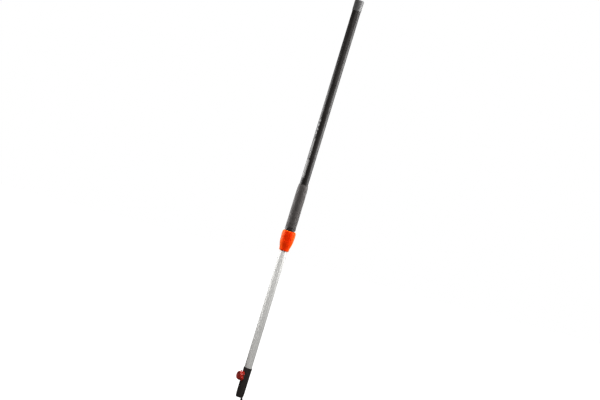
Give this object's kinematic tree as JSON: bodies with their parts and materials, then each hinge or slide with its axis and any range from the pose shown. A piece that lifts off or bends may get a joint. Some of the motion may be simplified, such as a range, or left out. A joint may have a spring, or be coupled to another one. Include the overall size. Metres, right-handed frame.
{
  "type": "telescopic tool handle",
  "caption": "Telescopic pole handle with twist-lock collar, rubber grip, end cap and a clamp-screw socket with safety catch for garden tool heads.",
  "frame": {"origin": "on the pole's axis in the middle of the hand grip", "axes": "+Z along the pole from the tool socket to the end cap, -X towards the clamp knob, +X towards the safety catch"},
  "size_m": [0.0472, 0.0415, 1.254],
  "materials": {
    "tube_black": "satin black coating on aluminium tube",
    "tube_silver": "satin anodised",
    "grip_rubber": "fine matt soft-touch rubber",
    "cap_grey": "fine moulded grain",
    "head_black": "glass-filled nylon, fine grain",
    "inner_plastic": "natural acetal",
    "collar_orange": "semi-gloss moulded plastic",
    "knob_red": "semi-gloss moulded plastic",
    "steel": "zinc plated",
    "brass": "turned",
    "seal_rubber": "smooth black rubber"
  },
  "bodies": {
    "handle": {"outer_tube": "tube_black", "end_cap": "cap_grey", "hand_grip": "grip_rubber", "collet_body": "head_black", "stop_pin": "steel", "collet_rivet_left": "steel", "collet_rivet_right": "steel"},
    "clamp_ring": {"wedge_ring": "inner_plastic"},
    "collar": {"twist_collar": "collar_orange", "wiper_seal": "seal_rubber"},
    "pole": {"inner_tube": "tube_silver", "guide_bush": "inner_plastic", "guide_ring": "inner_plastic", "bush_pin": "steel", "tool_head": "head_black", "head_rivet": "steel", "threaded_insert": "brass", "catch_pin": "steel", "catch_spring": "steel"},
    "pad": {"clamp_pad": "inner_plastic"},
    "clamp_screw": {"lock_knob": "knob_red", "clamp_stud": "steel"},
    "catch_lever": {"safety_catch": "head_black"}
  },
  "joints": [
    {"name": "pole_slide", "type": "slide", "parent": "handle", "child": "pole", "axis": [0, 0, -1], "range_m": [-0.346, 0.203]},
    {"name": "ring_slide", "type": "slide", "parent": "handle", "child": "clamp_ring", "axis": [0, 0, -1], "range_m": [0, 0.002]},
    {"name": "collar_twist", "type": "hinge", "parent": "clamp_ring", "child": "collar", "pos_m": [0, 0, -0.108], "axis": [0, 0, -1], "range_deg": [0, 120]},
    {"name": "pad_slide", "type": "slide", "parent": "pole", "child": "pad", "axis": [-1, 0, 0], "range_m": [0, 0.005]},
    {"name": "knob_turn", "type": "hinge", "parent": "pad", "child": "clamp_screw", "pos_m": [-0.02, 0, -0.535], "axis": [-1, 0, 0], "range_deg": [0, 1440]},
    {"name": "catch_press", "type": "hinge", "parent": "pole", "child": "catch_lever", "pos_m": [0.0096, 0, -0.575], "axis": [0, -1, 0], "range_deg": [0, 2.5], "stiffness_Nm_per_rad": 1, "springref_deg": -5.73, "deforming": ["catch_spring"]}
  ],
  "couplings": [
    {"joint": "ring_slide", "follows": "collar_twist", "m_per_rad": 0.0009549},
    {"joint": "pad_slide", "follows": "knob_turn", "m_per_rad": 0.00019894}
  ]
}
